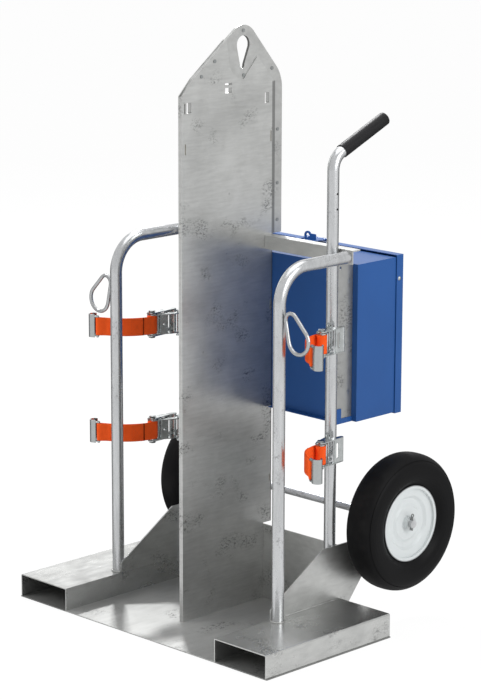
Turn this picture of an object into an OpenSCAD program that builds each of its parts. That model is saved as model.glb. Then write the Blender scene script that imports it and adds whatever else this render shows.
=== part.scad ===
// Gas cylinder trolley with a fire barrier, a toolbox and ratchet straps.
// +X is the right side seen from the front, +Y the back, +Z up; all sizes in millimetres.

/* [Base] */
// Outside width of the base across both fork pockets
base_w = 965; // [800:1:1200]
// Depth of the base plate from front to back
base_d = 478; // [400:1:640]
// Sheet thickness of the base plate, pockets and back plate
sheet = 3; // [2:0.5:5]
// How far the base plate stands out past the pocket walls
base_lip = 3; // [0:0.5:10]
// Outside width of a fork pocket
pocket_w = 190; // [150:1:240]
// Height of the pocket top above the floor
pocket_h = 67; // [55:1:90]
// Outside fold radius of the pocket's sheet
fold_r = 5; // [3.5:0.5:8]

/* [Side plates] */
// Thickness of the side plates
side_t = 4; // [3:0.5:8]
// Height of the side plate's level top edge
side_top = 221; // [180:1:280]
// Height of the side plate's front corner
side_front_top = 95; // [80:1:150]
// Distance from the back posts forward to the top of the slope
side_slope_back = 49; // [30:1:120]
// Radius of the ear round the axle
side_ear_r = 38; // [28:1:60]
// Height of the back plate's top edge
back_plate_top = 219; // [150:1:280]

/* [Wheels] */
// Height of the axle above the floor
axle_z = 266; // [220:1:320]
// Distance of the axle behind the base plate's back edge
axle_back = 173; // [120:1:230]
// Diameter of the axle
axle_d = 22; // [16:0.5:28]
// Outside diameter of the tyre
tyre_d = 386; // [320:1:430]
// Width of the tyre
tyre_w = 97; // [70:1:130]
// Distance of the wheel's middle outside the side plate
wheel_x = 69.5; // [66:0.5:120]
// Wall of the spacers between side plates and hubs
spacer_wall = 5; // [3:0.5:8]
// How far the outer washers stand out past the axle
washer_over = 8; // [5:0.5:14]
// Diameter of the cotter pins
cotter_d = 3.8; // [2:0.1:5]
// Outside diameter of the rim barrel under the tyre
rim_d = 203; // [180:1:230]
// Width of the rim between its outer lips
rim_w = 70; // [60:1:90]

/* [Posts] */
// Outside diameter of the front posts
post_d = 33.4; // [25:0.1:40]
// Wall of the front and back post tubes
tube_wall = 2.6; // [1.5:0.1:4]
// Distance of the front posts in front of the back posts
post_forward = 241; // [225:1:340]
// Height of the front posts' level part
post_top = 1021; // [850:1:1200]
// Bend radius of the front posts on the centre line
post_bend = 95; // [60:1:140]
// Outside diameter of the back posts
back_d = 32; // [25:0.1:40]
// Height of the handle's corner point
handle_z = 1285; // [1150:1:1400]
// Rise of the handle above level
handle_rise = 23.3; // [0:0.1:45]
// Bend radius of the handle on the centre line
handle_bend = 50; // [40:1:80]
// Length of the grip
grip_len = 182; // [120:1:240]
// Wall of the grip
grip_wall = 2.2; // [1.5:0.1:5]

/* [Rod loops] */
// Diameter of the loop's rod
loop_rod = 10.5; // [6:0.1:14]
// Centre-line radius of the loop's top arc
loop_top_r = 20; // [15:0.5:30]
// Centre-line radius of the loop's bottom arc
loop_low_r = 35.5; // [28:0.5:45]
// Height of the top arc's centre
loop_z = 893; // [700:1:950]
// Lean of the loop's long axis below level
loop_lean = 62; // [50:1:75]
// Half angle between the loop's straight sides
loop_taper = 16; // [12:1:22]

/* [Barrier] */
// Thickness of the lift plate inside the barrier
lift_t = 8; // [6:0.5:14]
// Thickness of each barrier skin
skin_t = 2.5; // [1.5:0.1:4]
// Distance of the barrier's front edge in front of the base's middle
barrier_front = 77; // [40:1:200]
// Distance of the upper back edge behind the base's middle
barrier_back = 304; // [285:1:380]
// Height of the lifting eye's upper arc centre
eye_z = 1568; // [1540:1:1640]
// Drop of the barrier's front shoulder below that centre
shoulder_z = 120; // [68:1:248]
// Drop of the barrier's back shoulder below that centre
back_shoulder_z = 94; // [68:1:168]
// Distance of the lifting eye behind the base's middle
eye_y = 154; // [140:1:170]
// Radius of the peak round the lifting eye
peak_r = 52; // [45:1:70]
// Radius of the lifting eye's wide end
eye_r = 24; // [15:0.5:30]
// Radius of the lifting eye's narrow end
eye_low_r = 8; // [5:0.5:14]
// Distance between the two ends of the lifting eye
eye_len = 56; // [40:1:80]
// Width of the front shoulder's bevel
bevel_y = 42; // [20:1:60]
// Height of the front shoulder's bevel
bevel_z = 43; // [20:1:60]
// Rise of the barrier's top in front of the peak, above level
slope_front = 37.4; // [34:0.1:40]
// Drop of the lift plate's foot, between the skins, below the lifting eye's centre
lift_foot = 176; // [172:1:228]
// Width of the recessed back flange
flange_w = 34; // [25:1:60]
// Slope of the barrier's top behind the peak, below level
slope_back = 49.7; // [45:0.1:55]
// Radius of the back shoulder
shoulder_r = 95; // [40:1:120]
// Radius of the notch that the skins leave round the lifting eye
notch_r = 62; // [56:1:70]

/* [Rail] */
// Thickness of the rail angle
rail_t = 4; // [3:0.5:8]
// Height of the rail's upright leg
rail_leg = 38; // [37:1:60]
// Depth of the rail's top leg
rail_flange = 31; // [20:1:50]
// Height of the rail's top face
rail_top = 1041; // [1040:1:1080]

/* [Toolbox] */
// Width of the toolbox
box_w = 592; // [570:1:640]
// Height of the toolbox body
box_h = 435; // [300:1:440]
// Height of the toolbox's underside above the floor
box_z = 555; // [500:1:560]
// Depth of the wide part of the toolbox body
box_d = 154; // [100:1:240]
// Depth of the narrow nose between the standoff plates
nose_d = 32; // [15:1:45]
// Depth of the lip at the foot of the nose
lip_d = 18; // [5:1:25]
// Depth of the standoff plates behind the back posts
stand_d = 63; // [50:1:100]
// Thickness of the standoff plates
stand_t = 4; // [3:0.5:8]
// Sheet thickness of the toolbox
box_t = 2; // [1:0.1:4]
// Spacing of the lid's hinge knuckles
hinge_pitch = 100; // [80:1:125]
// Width of a hinge knuckle
knuckle_w = 60; // [30:1:75]
// Depth of the lid
lid_d = 26; // [15:1:50]
// How far the lid stands out past the body
lid_over = 3; // [1:0.5:8]
// Extra height of the lid above the body
lid_rise = 6; // [1:0.5:12]

/* [Straps] */
// Height of the right upper strap
strap_ru_z = 805; // [700:1:850]
// Height of the right lower strap
strap_rl_z = 502; // [400:1:600]
// Height of the left upper strap
strap_lu_z = 757; // [700:1:850]
// Height of the left lower strap
strap_ll_z = 451; // [400:1:600]
// Width of the webbing
web_w = 51; // [40:1:56]
// Thickness of the webbing
web_t = 1.5; // [1:0.1:2]
// Clearance between the turns of webbing on the spool
turn_gap = 0.6; // [0.5:0.05:1]
// Turns of webbing on the spool
web_turns = 2.5; // [1.5:1:3.5]
// Angle of the ratchets, from straight ahead towards the outside
strap_yaw = 28.5; // [15:0.5:45]
// Turn of the webbing where it leaves the spool, towards the outside
web_turn = -24.5; // [-30:0.5:-18]
// Turn of the webbing along its way to the hook, towards the outside
web_bend = 58; // [45:1:64]
// Radius of that turn
web_bend_r = 130; // [110:1:145]
// Distance from the back post's axis to the spool
spool_s = 107; // [100:1:130]
// Distance from the back post's axis to the lug pin
lug_s = 27; // [25.5:0.5:34]
// Length of webbing from the spool to the hook's bar
hook_s = 170; // [160:1:190]
// How far the hook stands past the webbing's edges
hook_over = 7.5; // [4.5:0.5:12]
// Angle of the handle, measured back from the webbing's way
lever_turn = 153.4; // [120:0.1:155]
// Length of the handle from the spool to its bar
lever_len = 84; // [70:1:100]

/* [Hidden] */
// clearance between pieces that are fixed to each other
gap = 0.3;
// radial clearance of pins and shafts that turn
run = 0.06;
$fn = 96;

side_x = base_w/2 - pocket_w;
back_r = back_d/2;
back_x = side_x - back_r - 0.5;
back_y = base_d/2 - sheet - 1 - back_r;
post_r = post_d/2;
post_x = side_x + side_t + post_r + 0.8;
post_y = back_y - post_forward;
behind_y = back_y + back_r + gap;
axle_y = base_d/2 + axle_back;
axle_r = axle_d/2;
wheel_at = side_x + side_t + wheel_x;
front_z = eye_z - shoulder_z;
rear_z = eye_z - back_shoulder_z;
foot_z = eye_z - lift_foot;
lift_h = lift_t/2;
half_t = lift_h + gap + skin_t;
stand_y = behind_y + stand_d;
nose_y = stand_y + gap - nose_d;
box_back = stand_y + gap + box_d;
box_top = box_z + box_h;
edge_y = nose_y - gap;
rail_x = post_x + post_r + 2;
skin_y = barrier_back - flange_w;
lid_y = box_back + gap;
box_half = max(box_w/2, back_x + stand_t/2 + gap + 3*box_t);
lid_low = box_z - lid_over;
lid_high = box_top + lid_rise;
hinge_y = box_back + gap;
hinge_z = lid_low - 8;
plate_z = web_w/2 + 0.7;
plate_t = 2.5;
gear_z = plate_z + plate_t + gap;
arm_z = gear_z + plate_t + gap;
nut_z = arm_z + plate_t + gap;
ear_z = gear_z + 4;
shaft_r = 8;
gear_r = 15;
pin_r = 4;
bar_r = 3;

// colours
zinc = [0.72, 0.73, 0.72];
steel = [0.62, 0.63, 0.65];
blue = [0.16, 0.29, 0.55];
black = [0.08, 0.08, 0.09];
orange = [0.95, 0.36, 0.12];
pale = [0.9, 0.91, 0.9];
board = [0.85, 0.83, 0.76];

// mirrors its children to the left side when s is negative
module side(s) {
    mirror([s < 0 ? 1 : 0, 0, 0])
        children();
}

// turns a drawing in (Y, Z) into a plate from x0 over thickness t
module plate_x(x0, t) {
    translate([x0, 0, 0])
        rotate([90, 0, 90])
            linear_extrude(t)
                children();
}

module ring2d(r, wall) {
    difference() {
        circle(r);
        circle(r - wall);
    }
}

// base

module base_plate() {
    color(zinc)
        translate([-base_w/2 - base_lip, -base_d/2, 0])
            cube([base_w + 2*base_lip, base_d, sheet]);
}

// half of a folded channel's outline, open at the bottom, with its right fold rounded
module channel2d(w, h, r) {
    square([w, h - r]);
    square([w - r, h]);
    translate([w - r, h - r])
        circle(r);
}

module pocket(s) {
    h = pocket_h - sheet;
    color(zinc)
        side(s)
            translate([side_x, base_d/2, sheet])
                rotate([90, 0, 0])
                    linear_extrude(base_d)
                        difference() {
                            channel2d(pocket_w, h, fold_r);
                            translate([sheet, -1])
                                channel2d(pocket_w - 2*sheet, h - sheet + 1, fold_r - sheet);
                        }
}

module side_plate(s) {
    tail_y = base_d/2 + 0.5;
    color(zinc)
        side(s)
            plate_x(side_x, side_t)
                difference() {
                    union() {
                        polygon([
                            [post_y - 8, pocket_h], [tail_y, pocket_h], [tail_y, sheet + 1],
                            [axle_y + side_ear_r*0.85, axle_z - side_ear_r*0.53],
                            [axle_y + side_ear_r*0.5, axle_z],
                            [axle_y - side_ear_r*0.75, axle_z + side_ear_r*0.66],
                            [axle_y - side_ear_r - 75, side_top],
                            [back_y - side_slope_back, side_top], [post_y - 8, side_front_top]]);
                        translate([axle_y, axle_z])
                            circle(side_ear_r);
                    }
                    translate([axle_y, axle_z])
                        circle(axle_r + gap);
                }
}

module back_plate() {
    color(zinc)
        translate([-side_x + gap, behind_y, sheet])
            cube([2*side_x - 2*gap, sheet, back_plate_top - sheet]);
}

// barrier

function eye_y_low() = eye_y - 4;

module eye2d(extra = 0) {
    lo = [eye_y_low(), eye_z - eye_len];
    dy = eye_r - eye_low_r;
    translate([eye_y, eye_z])
        circle(eye_r + extra);
    translate(lo)
        circle(eye_low_r + extra);
    polygon([
        [eye_y - eye_r - extra, eye_z - dy*0.3], [eye_y + eye_r + extra, eye_z - dy*0.3],
        [lo[0] + eye_low_r + extra, lo[1] + dy*0.15], [lo[0] - eye_low_r - extra, lo[1] + dy*0.15]]);
}

// openings through the whole barrier, as rectangles [y, z, width, height]
see_through = [
    [-barrier_front + 18, front_z - 46, 17, 28], [skin_y - 35, front_z - 44, 16, 28],
    [eye_y - 71, front_z - 5, 26, 14], [eye_y - 71, front_z + 16, 26, 6]];
// narrow tab slots in the skins only
tab_slots = [
    [-barrier_front + 9, front_z - 47, 4, 28], [-barrier_front + 11, front_z - 155, 4, 28],
    [skin_y - 13, front_z - 151, 4, 30], [skin_y - 13, rail_top - 211, 4, 26],
    [skin_y - 13, back_plate_top + 121, 4, 20]];
// rivets [y, z], three of them in a row along the back flange
row_y = barrier_back - 17;
row_low = rail_top + 37;
row_high = rear_z - 146;
rivets = [
    [eye_y, eye_z + 37], [eye_y + 1, eye_z - 82], [barrier_back - 40, rear_z + 22],
    [row_y, row_high], [row_y, row_low + 0.408*(row_high - row_low)], [row_y, row_low],
    [-barrier_front + 72, on_front_slope(-barrier_front + 72) - 19],
    [-barrier_front + 121, on_front_slope(-barrier_front + 121) - 20]];

module rects(list) {
    for (q = list)
        translate([q[0], q[1]])
            square([q[2], q[3]]);
}

function on_front_slope(y) = front_z + bevel_z + (y + barrier_front - bevel_y)*tan(slope_front);

module skin2d(inset = 0, foot = sheet) {
    notch = [eye_y + 4, eye_z - 31];
    polygon(concat(
        [[-barrier_front + inset, foot + inset], [-barrier_front + inset, front_z - inset],
            [-barrier_front + bevel_y, front_z + bevel_z - inset*1.5],
            [notch[0] - notch_r - 8, on_front_slope(notch[0] - notch_r - 8) - inset]],
        [for (a = [175:10:265]) notch + notch_r*[cos(a), sin(a)]],
        [[eye_y + peak_r, eye_z - 35], [skin_y - inset, rear_z - 13],
            [skin_y - inset, edge_limit()], [edge_y - inset, edge_limit()],
            [edge_y - inset, back_plate_top + 3], [behind_y - gap - inset, back_plate_top + 3],
            [behind_y - gap - inset, foot + inset]]));
}

function edge_limit() = rail_top + 1;

module skin(s) {
    color(zinc)
        side(s) {
            plate_x(lift_h + gap, skin_t)
                difference() {
                    skin2d();
                    rects(see_through);
                    rects(tab_slots);
                    for (q = rivets)
                        translate(q)
                            circle(3.3, $fn = 24);
                }
            translate([gap/2, -barrier_front, sheet])
                cube([lift_h + gap, skin_t, front_z - sheet]);
        }
}

module core_board() {
    color(board)
        plate_x(-lift_h + gap, lift_t - 2*gap)
            difference() {
                intersection() {
                    skin2d(3.5);
                    translate([-barrier_front, 0])
                        square([barrier_back + barrier_front, foot_z - 2]);
                }
                rects(see_through);
            }
}

module lift_plate() {
    turn = 90 - slope_back;
    bend = [barrier_back - shoulder_r, rear_z - shoulder_r*tan(turn/2)];
    color(zinc)
        plate_x(-lift_h, lift_t)
            difference() {
                polygon(concat(
                    [[-barrier_front + 4, foot_z], [-barrier_front + 4, front_z - 2],
                        [-barrier_front + bevel_y, front_z + bevel_z]],
                    [for (k = [0:30]) let (a = (slope_front + slope_back)*k/30 - slope_front)
                        [eye_y, eye_z] + peak_r*[sin(a), cos(a)]],
                    [for (k = [8:-1:0]) bend + shoulder_r*[cos(turn*k/8), sin(turn*k/8)]],
                    [[barrier_back, edge_limit()], [skin_y - 8, edge_limit()], [skin_y - 8, foot_z]]));
                eye2d();
                rects(see_through);
                translate([skin_y - 9, edge_limit() - 1])
                    square([9, foot_z - edge_limit() + 1]);
                for (q = rivets)
                    translate(q)
                        circle(3.3, $fn = 24);
            }
}

// a rivet sits on the skin, or on the bare lift plate behind and above it
function rivet_half(q) = (q[0] > skin_y - 8 || q[1] > eye_z - 85 && q[0] > eye_y - 20) ? lift_h : half_t;

module barrier_rivets() {
    color(steel)
        for (q = rivets)
            translate([0, q[0], q[1]])
                rotate([0, 90, 0]) {
                    cylinder(r = 3, h = 2*rivet_half(q), center = true, $fn = 24);
                    for (e = [-1, 1])
                        translate([0, 0, e*(rivet_half(q) + 0.8)])
                            cylinder(r = 5, h = 1.6, center = true, $fn = 24);
                }
}

// posts

module front_post(s) {
    rise = post_top - post_bend;
    color(zinc)
        side(s)
            translate([post_x, post_y, 0]) {
                translate([0, 0, pocket_h])
                    linear_extrude(rise - pocket_h)
                        ring2d(post_r, tube_wall);
                translate([0, post_bend, rise])
                    rotate([90, 0, -90])
                        rotate_extrude(angle = 90)
                            translate([post_bend, 0])
                                ring2d(post_r, tube_wall);
                translate([0, post_bend, post_top])
                    rotate([-90, 0, 0])
                        linear_extrude(behind_y - gap - post_y - post_bend)
                            ring2d(post_r, tube_wall);
            }
}

handle_turn = 90 - handle_rise;
handle_cut = handle_bend*tan(handle_turn/2);
tail_len = 3 + grip_len - 4;

// moves to the end of the handle's bend, with +Z along the grip
module handle_end() {
    translate([0, handle_cut*cos(handle_rise), handle_z + handle_cut*sin(handle_rise)])
        rotate([-handle_turn, 0, 0])
            children();
}

module back_post(s) {
    color(zinc)
        side(s)
            difference() {
                translate([back_x, back_y, 0]) {
                    translate([0, 0, sheet])
                        linear_extrude(handle_z - handle_cut - sheet)
                            ring2d(back_r, tube_wall);
                    translate([0, handle_bend, handle_z - handle_cut])
                        rotate([90, 0, -90])
                            rotate_extrude(angle = handle_turn)
                                translate([handle_bend, 0])
                                    ring2d(back_r, tube_wall);
                    handle_end()
                        linear_extrude(tail_len)
                            ring2d(back_r, tube_wall);
                }
                for (z = [handle_z - 95, handle_z - 136])
                    translate([back_x, back_y, z])
                        rotate([0, 90, 0])
                            cylinder(r = 3, h = back_d + 4, center = true, $fn = 24);
            }
}

module grip(s) {
    in_r = back_r + gap;
    color(black)
        side(s)
            translate([back_x, back_y, 0])
                handle_end()
                    translate([0, 0, 3])
                        rotate_extrude()
                            difference() {
                                union() {
                                    square([in_r + grip_wall, grip_len - 3]);
                                    square([in_r + grip_wall - 3, grip_len]);
                                    translate([in_r + grip_wall - 3, grip_len - 3])
                                        circle(3, $fn = 32);
                                }
                                translate([-10, -1])
                                    square([in_r + 10, grip_len - 3]);
                                translate([-50, -1])
                                    square([50, grip_len + 2]);
                            }
}

// the rod is swept round two arcs; the straight sides join the arcs' ends
loop_sides = 12;

function loop_rings() =
    let (
        c1 = [post_x + post_r + gap + loop_rod/2 + loop_top_r, loop_z],
        open = 90 + loop_taper,
        span = (loop_low_r - loop_top_r)/sin(loop_taper),
        c2 = c1 + span*[cos(loop_lean), -sin(loop_lean)])
    concat(
        [for (k = [0:12])
            let (a = open - loop_lean + k*(360 - 2*open)/12)
            [c1 + loop_top_r*[cos(a), sin(a)], a]],
        [for (k = [0:18])
            let (a = k*2*open/18 - open - loop_lean)
            [c2 + loop_low_r*[cos(a), sin(a)], a]]);

module rod_loop(s) {
    rings = loop_rings();
    n = len(rings);
    m = loop_sides;
    skin = [for (q = rings, j = [0:m - 1])
        let (out = loop_rod/2*cos(360*j/m))
        [q[0][0] + out*cos(q[1]), post_y + loop_rod/2*sin(360*j/m), q[0][1] + out*sin(q[1])]];
    cells = [for (i = [0:n - 1], j = [0:m - 1], e = [0, 1])
        let (i2 = (i + 1)%n, j2 = (j + 1)%m)
        e == 0 ? [i*m + j, i2*m + j, i2*m + j2] : [i*m + j, i2*m + j2, i*m + j2]];
    color(steel)
        side(s)
            polyhedron(points = skin, faces = cells);
}

// rail and standoff plates

module rail(s) {
    x0 = half_t + gap;
    color(zinc)
        side(s)
            translate([x0, behind_y, rail_top - rail_leg]) {
                cube([rail_x - x0, rail_t, rail_leg]);
                translate([0, 0, rail_leg - rail_t])
                    cube([rail_x - x0, rail_flange, rail_t]);
            }
}

stand_h = rail_top - rail_leg - 5 - box_z;
bolt_z = [85, min(stand_h - 53, box_h - 45)];
bolt_y = stand_y - nose_d/2 + 2;
sink_d = 3;

module standoff(s) {
    color(zinc)
        side(s)
            difference() {
                plate_x(back_x - stand_t/2, stand_t)
                    difference() {
                        translate([behind_y, box_z])
                            square([stand_d, stand_h]);
                        translate([behind_y + 11, box_z + stand_h - 17])
                            square([8, 8]);
                    }
                for (z = bolt_z)
                    translate([back_x + stand_t/2, bolt_y, box_z + z])
                        rotate([0, 90, 0])
                            screw(4.3, 7.3, stand_t + 1);
            }
}

// a sunk screw's shape below its flat top, which is flush at the origin
module screw(r, head_r, length) {
    translate([0, 0, -length])
        cylinder(r = r, h = length, $fn = 32);
    translate([0, 0, -sink_d])
        cylinder(r1 = r, r2 = head_r, h = sink_d, $fn = 32);
}

// toolbox

nose_x = back_x - stand_t/2 - gap;
knuckles = [for (k = [-2:2]) k*hinge_pitch];
pin_over = 8;

module knuckle(x, y0, y1, z1) {
    difference() {
        union() {
            translate([x - knuckle_w/2, hinge_y, hinge_z])
                rotate([0, 90, 0])
                    cylinder(r = 6, h = knuckle_w);
            translate([x - knuckle_w/2, y0, hinge_z - 2])
                cube([knuckle_w, y1 - y0, z1 - hinge_z + 2]);
        }
        translate([x - knuckle_w/2 - 1, hinge_y, hinge_z])
            rotate([0, 90, 0])
                cylinder(r = 3 + run, h = knuckle_w + 2);
    }
}

module box_body() {
    wide_y = stand_y + gap;
    color(blue) {
        difference() {
            union() {
                translate([-nose_x, nose_y, box_z])
                    cube([2*nose_x, nose_d + box_t, box_h]);
                translate([-box_half, wide_y, box_z])
                    cube([2*box_half, box_d, box_h]);
            }
            translate([-nose_x + box_t, nose_y + box_t, box_z + box_t])
                cube([2*nose_x - 2*box_t, nose_d + box_t + 2, box_h - 2*box_t]);
            translate([-box_half + box_t, wide_y + box_t, box_z + box_t])
                cube([2*box_half - 2*box_t, box_d, box_h - 2*box_t]);
            for (e = [-1, 1])
                for (z = bolt_z)
                    translate([e*nose_x, bolt_y, box_z + z])
                        rotate([0, 90, 0])
                            cylinder(r = 4.3, h = 12, center = true, $fn = 32);
        }
        for (k = [0, 2, 4])
            knuckle(knuckles[k], hinge_y - 9, hinge_y - 2, box_z);
        for (e = [-1, 1])
            side(e)
                box_foot(wide_y);
    }
}

// lip in front of the nose's foot, and the stepped lug outside the standoff plate
module box_foot(wide_y) {
    lug_h = 14;
    lug_top = 42;
    lug_y = nose_y - 11;
    translate([half_t + 4, nose_y - lip_d, box_z])
        cube([nose_x - half_t - 8, lip_d + box_t, box_t]);
    plate_x(back_x + stand_t/2 + gap, box_t)
        polygon([
            [behind_y + 1, box_z], [wide_y + box_t, box_z], [wide_y + box_t, box_z + lug_h],
            [lug_y, box_z + lug_h], [lug_y, box_z + lug_top], [behind_y + 1, box_z + lug_top]]);
}

module box_lid() {
    w = 2*(box_half + lid_over);
    h = lid_high - lid_low;
    color(blue) {
        difference() {
            translate([-w/2, lid_y, lid_low])
                cube([w, lid_d, h]);
            translate([-w/2 + box_t, lid_y - 1, lid_low + box_t])
                cube([w - 2*box_t, lid_d - box_t + 1, h - 2*box_t]);
        }
        for (k = [1, 3])
            knuckle(knuckles[k], hinge_y + 3, hinge_y + 9, lid_low);
        for (x = flap_ears)
            flap_ear(x);
    }
}

module lid_pin() {
    color(steel)
        translate([knuckles[0] - knuckle_w/2 - pin_over, hinge_y, hinge_z])
            rotate([0, 90, 0])
                cylinder(r = 3, h = knuckles[4] - knuckles[0] + knuckle_w + 2*pin_over);
}

// round-headed rivets, one on each side of the lid
module lid_rivets() {
    color(steel)
        for (e = [-1, 1])
            translate([e*(box_half + lid_over), lid_y + lid_d*0.42, lid_high - 66])
                rotate([0, e*90, 0])
                    intersection() {
                        translate([0, 0, -4])
                            sphere(r = 7, $fn = 48);
                        cylinder(r = 7, h = 7);
                    }
}

hasp_x = -14;
flap_y = lid_y + 8;
flap_z = lid_high + 6;
flap_ears = [hasp_x - 36, hasp_x + 46];

module flap_ear(x) {
    difference() {
        union() {
            translate([x, flap_y, flap_z])
                rotate([0, 90, 0])
                    cylinder(r = 4.5, h = 4, $fn = 48);
            translate([x, flap_y - 4.5, lid_high - 0.5])
                cube([4, 9, flap_z - lid_high + 0.5]);
        }
        translate([x - 1, flap_y, flap_z])
            rotate([0, 90, 0])
                cylinder(r = 2 + run, h = 6, $fn = 48);
    }
}

module hasp_eye() {
    eye_c = box_top + 23;
    y0 = box_back - 22;
    color(blue)
        difference() {
            union() {
                translate([hasp_x - 14, y0 - 7, box_top])
                    cube([28, 14, 2]);
                translate([hasp_x, y0 + 2, eye_c])
                    rotate([90, 0, 0])
                        cylinder(r = 12.5, h = 4, $fn = 48);
                translate([hasp_x - 10, y0 - 2, box_top])
                    cube([20, 4, eye_c - box_top]);
            }
            translate([hasp_x, y0 + 5, eye_c])
                rotate([90, 0, 0])
                    cylinder(r = 7, h = 10, $fn = 48);
        }
}

module hasp_flap() {
    x0 = flap_ears[0] + 4 + gap;
    x1 = flap_ears[1] - gap;
    color(blue) {
        translate([flap_ears[0] - 1, flap_y, flap_z])
            rotate([0, 90, 0])
                cylinder(r = 2, h = flap_ears[1] - flap_ears[0] + 6, $fn = 48);
        difference() {
            union() {
                translate([x0, flap_y, flap_z])
                    rotate([0, 90, 0])
                        cylinder(r = 4, h = x1 - x0, $fn = 48);
                translate([x0, flap_y - 50, flap_z + 1])
                    cube([x1 - x0, 50, 2]);
            }
            translate([hasp_x - 14, flap_y - 60, flap_z - 4])
                cube([28, 46, 12]);
        }
        translate([hasp_x + 18, flap_y - 42, flap_z + 1])
            cube([22, 3, 19]);
    }
}

module box_bolts() {
    reach = stand_t + gap + box_t + 8;
    color(steel)
        for (e = [-1, 1])
            side(e)
                for (z = bolt_z)
                    translate([back_x + stand_t/2, bolt_y, box_z + z])
                        rotate([0, 90, 0]) {
                            screw(4, 7, reach);
                            translate([0, 0, -reach + 2])
                                cylinder(r = 7.5, h = 6, $fn = 6);
                        }
}

// wheels, drawn round Z with the outer face upwards

rim_r = rim_d/2;
lip_r = rim_r + 5;
lip_x = rim_w/2;
tyre_r = tyre_d/2;
hub_in = -44;
hub_out = 34;
hub_r = 20;
bush_r = 15;

module at_wheel(s) {
    side(s)
        translate([wheel_at, axle_y, axle_z])
            rotate([0, 90, 0])
                children();
}

function flank(a, p) = sign(a)*pow(abs(a), p);

module tyre(s) {
    half_h = (tyre_r - rim_r - 3)/2;
    mid_r = tyre_r - half_h;
    bead = lip_x - 3 - gap;
    low = rim_r + gap;
    color(black)
        at_wheel(s)
            difference() {
                rotate_extrude($fn = 128)
                    polygon(concat(
                        [[low, bead], [lip_r + 1, bead]],
                        [for (a = [-30:7.5:210])
                            [mid_r + half_h*flank(sin(a), 0.77), tyre_w/2*flank(cos(a), 0.77)]],
                        [[lip_r + 1, -bead], [low, -bead]]));
                for (e = [-1, 1])
                    translate([0, 0, e*tyre_w*0.425])
                        rotate_extrude($fn = 128)
                            translate([tyre_r*0.91, 0])
                                circle(1.6, $fn = 16);
            }
}

module rim(s) {
    in_r = rim_r - 4;
    face = lip_x - 8;
    color(pale)
        at_wheel(s)
            rotate_extrude($fn = 128)
                polygon([
                    [hub_r, hub_out], [bush_r + gap, hub_out], [bush_r + gap, hub_in], [hub_r, hub_in],
                    [hub_r, face - 7], [0.48*in_r, face - 7], [0.56*in_r, face - 11], [0.7*in_r, face - 11],
                    [0.78*in_r, face - 5], [in_r, face - 3],
                    [in_r, -lip_x], [lip_r, -lip_x], [lip_r, -lip_x + 3], [rim_r, -lip_x + 3],
                    [rim_r, lip_x - 3], [lip_r, lip_x - 3], [lip_r, lip_x], [in_r, lip_x],
                    [in_r, face], [0.78*in_r, face - 2], [0.7*in_r, face - 8], [0.56*in_r, face - 8],
                    [0.48*in_r, face - 4], [hub_r, face - 4]]);
}

module bush(s) {
    color(steel)
        at_wheel(s)
            translate([0, 0, hub_in])
                difference() {
                    cylinder(r = bush_r, h = hub_out - hub_in);
                    translate([0, 0, -1])
                        cylinder(r = axle_r + run, h = hub_out - hub_in + 2);
                }
}

washer_t = 2.5;
axle_half = wheel_at + hub_out + washer_t + 9;
cotter_x = wheel_at + hub_out + washer_t + 3.5;

module axle() {
    color(steel)
        translate([-axle_half, axle_y, axle_z])
            difference() {
                rotate([0, 90, 0])
                    cylinder(r = axle_r, h = 2*axle_half);
                for (e = [-1, 1])
                    translate([axle_half + e*cotter_x, 0, 0])
                        cylinder(r = cotter_d/2 + gap, h = axle_d + 4, center = true, $fn = 32);
            }
}

module collar(x0, x1, r) {
    translate([x0, axle_y, axle_z])
        rotate([0, 90, 0])
            difference() {
                cylinder(r = r, h = x1 - x0);
                translate([0, 0, -1])
                    cylinder(r = axle_r + gap, h = x1 - x0 + 2);
            }
}

module axle_spacers() {
    color(steel)
        for (e = [-1, 1])
            side(e) {
                collar(side_x + side_t + gap, wheel_at + hub_in - gap, axle_r + spacer_wall);
                collar(wheel_at + hub_out + gap, wheel_at + hub_out + gap + washer_t, axle_r + washer_over);
            }
}

module cotter_pins() {
    color(steel)
        for (e = [-1, 1])
            side(e)
                translate([cotter_x, axle_y, axle_z]) {
                    cylinder(d = cotter_d, h = axle_d + 16, center = true, $fn = 32);
                    translate([0, 0, axle_r + 12])
                        rotate([0, 90, 0])
                            rotate_extrude($fn = 48)
                                translate([cotter_d + 0.7, 0])
                                    circle(cotter_d/2 - 0.2, $fn = 24);
                }
}

// straps, drawn with +X away from the back post and +Y towards the outside

module at_strap(s, z) {
    side(s)
        translate([back_x, back_y, z])
            rotate([0, 0, strap_yaw - 90])
                children();
}

module both_z() {
    for (e = [0, 1])
        mirror([0, 0, e])
            children();
}

module strap_lug(s, z) {
    at_strap(s, z)
        difference() {
            union() {
                both_z()
                    translate([0, 0, ear_z])
                        linear_extrude(4) {
                            translate([8, -9])
                                square([lug_s - 8, 18]);
                            translate([lug_s, 0])
                                circle(9);
                        }
                translate([lug_s, 0, 0])
                    cylinder(r = pin_r, h = 2*ear_z + 8, center = true);
            }
            cylinder(r = back_r + gap, h = 2*ear_z + 20, center = true);
        }
}

module strap_lugs() {
    color(steel) {
        strap_lug(1, strap_ru_z);
        strap_lug(1, strap_rl_z);
        strap_lug(-1, strap_lu_z);
        strap_lug(-1, strap_ll_z);
    }
}

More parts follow.
